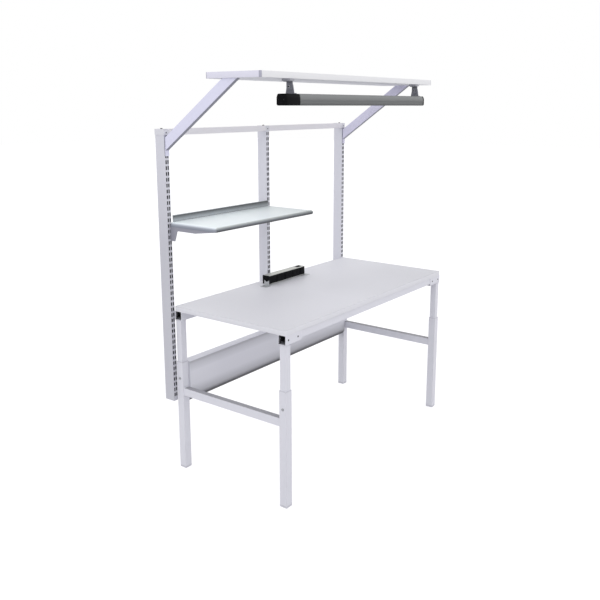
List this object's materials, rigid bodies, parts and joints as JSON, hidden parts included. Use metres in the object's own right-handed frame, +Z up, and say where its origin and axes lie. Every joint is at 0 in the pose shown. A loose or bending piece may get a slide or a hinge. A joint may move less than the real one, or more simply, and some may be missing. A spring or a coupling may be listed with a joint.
{
  "type": "anti-static workbench",
  "caption": "Height-adjustable workbench on telescopic legs with slotted rear uprights, a hook-in shelf, an overhead shelf with a tilting task light, and a socket strip.",
  "frame": {"origin": "on the floor under the middle of the bench's outer box", "axes": "+Z up, +Y towards the uprights at the rear, +X to the right as the worker sees it"},
  "size_m": [1.544, 0.7726, 1.98],
  "materials": {
    "frame_steel": "light grey powder coat",
    "shelf_steel": "pale grey powder coat",
    "grey_steel": "mid grey powder coat",
    "laminate": "light grey static-dissipative laminate on chipboard",
    "shelf_board": "light grey laminate on chipboard",
    "foot_plastic": "moulded grey",
    "dark_plastic": "moulded dark grey",
    "cap_plastic": "moulded light grey",
    "black_plastic": "moulded black",
    "zinc_steel": "bright zinc plate",
    "black_steel": "black oxide",
    "strip_aluminium": "satin anodised",
    "lamp_aluminium": "satin anodised grey",
    "opal_diffuser": "opal",
    "circuit_board": "white solder mask"
  },
  "bodies": {
    "base": {"leg_tube_front_left": "frame_steel", "leg_tube_front_right": "frame_steel", "leg_tube_rear_left": "frame_steel", "leg_tube_rear_right": "frame_steel", "foot_front_left": "foot_plastic", "foot_front_right": "foot_plastic", "foot_rear_left": "foot_plastic", "foot_rear_right": "foot_plastic", "leg_guide_bushes": "dark_plastic", "leg_clamp_screws": "zinc_steel", "crossbar_left": "frame_steel", "crossbar_right": "frame_steel", "rear_stretcher": "frame_steel", "stretcher_end_plates": "frame_steel", "stretcher_bolts": "zinc_steel"},
    "lift": {"inner_leg_front_left": "frame_steel", "inner_leg_front_right": "frame_steel", "inner_leg_rear_left": "frame_steel", "inner_leg_rear_right": "frame_steel", "leg_head_front_left": "frame_steel", "leg_head_front_right": "frame_steel", "leg_head_rear_left": "frame_steel", "leg_head_rear_right": "frame_steel", "front_rail": "frame_steel", "rear_rail": "frame_steel", "leg_head_bolts": "black_steel", "worktop": "laminate", "upright_left": "frame_steel", "upright_middle": "frame_steel", "upright_right": "frame_steel", "upright_caps": "cap_plastic", "cap_bolts": "black_steel", "upright_mounts": "frame_steel", "mount_bolts": "zinc_steel", "top_rail_left": "frame_steel", "top_rail_right": "frame_steel", "arm_left": "frame_steel", "arm_right": "frame_steel", "upper_shelf": "shelf_board", "lower_shelf": "shelf_steel", "shelf_bracket_left": "frame_steel", "shelf_bracket_right": "frame_steel", "strip_housing": "strip_aluminium", "strip_fascia": "black_plastic", "strip_sockets": "black_plastic", "strip_end_caps": "black_plastic", "strip_foot_left": "zinc_steel", "strip_foot_right": "zinc_steel", "switch_frame": "black_plastic", "lamp_hanger_left": "grey_steel", "lamp_hanger_right": "grey_steel", "lamp_hanger_pads": "cap_plastic", "lamp_pivot_screws": "black_steel"},
    "lamp": {"lamp_body": "lamp_aluminium", "lamp_diffuser": "opal_diffuser", "lamp_led_board": "circuit_board", "lamp_driver_box": "black_plastic", "lamp_end_cap": "black_plastic", "lamp_clips": "grey_steel"},
    "rocker": {"switch_rocker": "black_plastic"}
  },
  "joints": [
    {"name": "height_slide", "type": "slide", "parent": "base", "child": "lift", "axis": [0, 0, 1], "range_m": [-0.21, 0.04]},
    {"name": "lamp_tilt", "type": "hinge", "parent": "lift", "child": "lamp", "pos_m": [0.03, -0.25866, 1.918], "axis": [1, 0, 0], "range_deg": [-30, 30]},
    {"name": "switch_rock", "type": "hinge", "parent": "lift", "child": "rocker", "pos_m": [0.144, 0.2247, 0.912], "axis": [0, 1, 0], "range_deg": [0, 16]}
  ]
}
